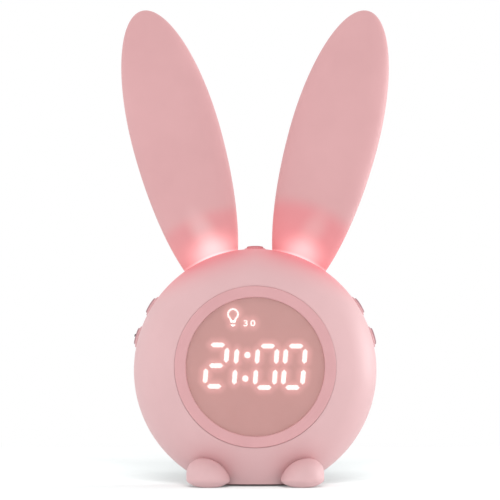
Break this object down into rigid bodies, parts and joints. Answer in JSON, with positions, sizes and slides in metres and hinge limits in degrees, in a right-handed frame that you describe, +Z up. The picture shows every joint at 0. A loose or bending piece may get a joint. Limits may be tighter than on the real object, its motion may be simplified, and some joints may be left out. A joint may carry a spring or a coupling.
{
  "type": "kids alarm clock",
  "caption": "Round bedside alarm clock for a child, with tall soft lamp ears, a round lit display, push buttons on its top and sides, and two soft front feet.",
  "frame": {"origin": "on the table under the middle of the case, in the plane where the two case halves part", "axes": "+X to the right seen from the front, +Y to the back, +Z up"},
  "size_m": [0.1194, 0.07, 0.2111],
  "materials": {
    "case_plastic": "satin",
    "bezel_plastic": "satin",
    "lens_plastic": "gloss",
    "mask_plastic": "matte",
    "light_bar": "gloss",
    "lamp": "gloss",
    "silicone": "matte",
    "button_plastic": "satin",
    "plunger_plastic": "matte",
    "switch_plastic": "matte",
    "board": "satin",
    "screw_steel": "satin",
    "socket_steel": "satin",
    "speaker_metal": "satin",
    "speaker_film": "satin",
    "foam": "matte",
    "pad_rubber": "matte",
    "cell_wrap": "gloss",
    "lead_sleeve": "satin"
  },
  "bodies": {
    "clock_body": {"base_pad": "pad_rubber", "battery_cell": "cell_wrap", "battery_lead": "lead_sleeve", "bezel_ring": "bezel_plastic", "board_components": "switch_plastic", "case_screws": "screw_steel", "display_board": "board", "display_board_screws": "screw_steel", "display_lens": "lens_plastic", "front_shell": "case_plastic", "key_board_screws": "screw_steel", "lamp_board_screws": "screw_steel", "lamp_leds": "lamp", "left_ear": "silicone", "left_foot": "silicone", "left_key_board": "board", "left_key_lead": "lead_sleeve", "left_lamp_board": "board", "left_lamp_lead": "lead_sleeve", "light_mask": "mask_plastic", "power_board": "board", "power_board_screws": "screw_steel", "power_lead": "lead_sleeve", "rear_shell": "case_plastic", "right_ear": "silicone", "right_foot": "silicone", "right_key_board": "board", "right_key_lead": "lead_sleeve", "right_lamp_board": "board", "right_lamp_lead": "lead_sleeve", "segment_bars": "light_bar", "speaker_cone": "speaker_film", "speaker_frame": "speaker_metal", "speaker_gasket": "foam", "speaker_lead": "lead_sleeve", "speaker_magnet": "speaker_metal", "switch_housings": "switch_plastic", "top_key_board": "board", "top_key_lead": "lead_sleeve", "usb_socket": "socket_steel"},
    "snooze_key": {"snooze_button": "button_plastic", "snooze_plunger": "plunger_plastic"},
    "upper_left_key": {"upper_left_button": "button_plastic", "upper_left_plunger": "plunger_plastic"},
    "lower_left_key": {"lower_left_button": "button_plastic", "lower_left_plunger": "plunger_plastic"},
    "upper_right_key": {"upper_right_button": "button_plastic", "upper_right_plunger": "plunger_plastic"},
    "lower_right_key": {"lower_right_button": "button_plastic", "lower_right_plunger": "plunger_plastic"}
  },
  "joints": [
    {"name": "snooze_press", "type": "slide", "parent": "clock_body", "child": "snooze_key", "axis": [0, 0, -1], "range_m": [0, 0.0006], "stiffness_N_per_m": 1000},
    {"name": "upper_left_press", "type": "slide", "parent": "clock_body", "child": "upper_left_key", "axis": [0.9135, 0, -0.4067], "range_m": [0, 0.0006], "stiffness_N_per_m": 1000},
    {"name": "lower_left_press", "type": "slide", "parent": "clock_body", "child": "lower_left_key", "axis": [0.9135, 0, -0.4067], "range_m": [0, 0.0006], "stiffness_N_per_m": 1000},
    {"name": "upper_right_press", "type": "slide", "parent": "clock_body", "child": "upper_right_key", "axis": [-0.9135, 0, -0.4067], "range_m": [0, 0.0006], "stiffness_N_per_m": 1000},
    {"name": "lower_right_press", "type": "slide", "parent": "clock_body", "child": "lower_right_key", "axis": [-0.9135, 0, -0.4067], "range_m": [0, 0.0006], "stiffness_N_per_m": 1000}
  ]
}
